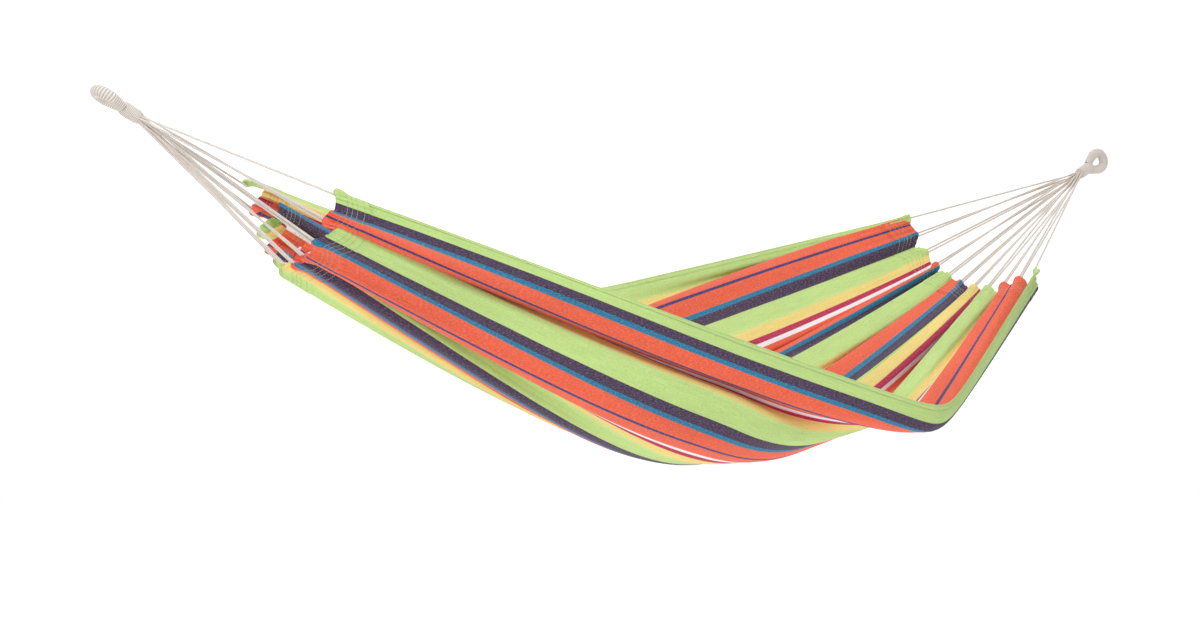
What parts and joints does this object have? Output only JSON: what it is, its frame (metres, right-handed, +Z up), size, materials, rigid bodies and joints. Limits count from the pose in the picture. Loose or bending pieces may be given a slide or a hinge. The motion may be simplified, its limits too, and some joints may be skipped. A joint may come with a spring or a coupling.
{
  "type": "rope hammock",
  "caption": "Striped cotton hammock bed gathered by fans of cords to a wound rope eye at each end, hung between two hooks.",
  "frame": {"origin": "the seat of the left eye, on the inside of its loop, where the left hook bears", "axes": "+X along the line from the left hook to the right hook, +Z up, -Y towards the low near edge of the bed"},
  "size_m": [2.6495, 1.3127, 0.7775],
  "materials": {
    "striped_cloth": "woven cotton in lengthwise stripes of lime green, orange, purple, blue, navy, yellow, magenta and white",
    "edge_hem": "lime green woven cotton, stitched narrow hem",
    "end_hem": "striped woven cotton, doubled and stitched",
    "cord": "undyed twisted cotton cord",
    "winding": "undyed cotton cord wound tight",
    "rope_core": "bundle of undyed cotton cords"
  },
  "bodies": {
    "hanging_eyes": {"left_eye_core": "rope_core", "left_eye_serving": "winding", "right_eye_core": "rope_core", "right_eye_serving": "winding"},
    "bed": {"cloth": "striped_cloth", "near_edge_hem": "edge_hem", "far_edge_hem": "edge_hem", "left_end_hem": "end_hem", "right_end_hem": "end_hem", "left_neck": "rope_core", "left_whipping": "winding", "right_neck": "rope_core", "right_whipping": "winding", "left_cord_1": "cord", "left_cord_2": "cord", "left_cord_3": "cord", "left_cord_4": "cord", "left_cord_5": "cord", "left_cord_6": "cord", "left_cord_7": "cord", "left_cord_8": "cord", "left_cord_9": "cord", "left_cord_10": "cord", "left_cord_11": "cord", "right_cord_1": "cord", "right_cord_2": "cord", "right_cord_3": "cord", "right_cord_4": "cord", "right_cord_5": "cord", "right_cord_6": "cord", "right_cord_7": "cord", "right_cord_8": "cord", "right_cord_9": "cord", "right_cord_10": "cord", "right_cord_11": "cord"}
  },
  "joints": [
    {"name": "bed_swing", "type": "hinge", "parent": "hanging_eyes", "child": "bed", "pos_m": [0, 0, 0], "axis": [1, 0, 0], "range_deg": [-30, 30]}
  ]
}
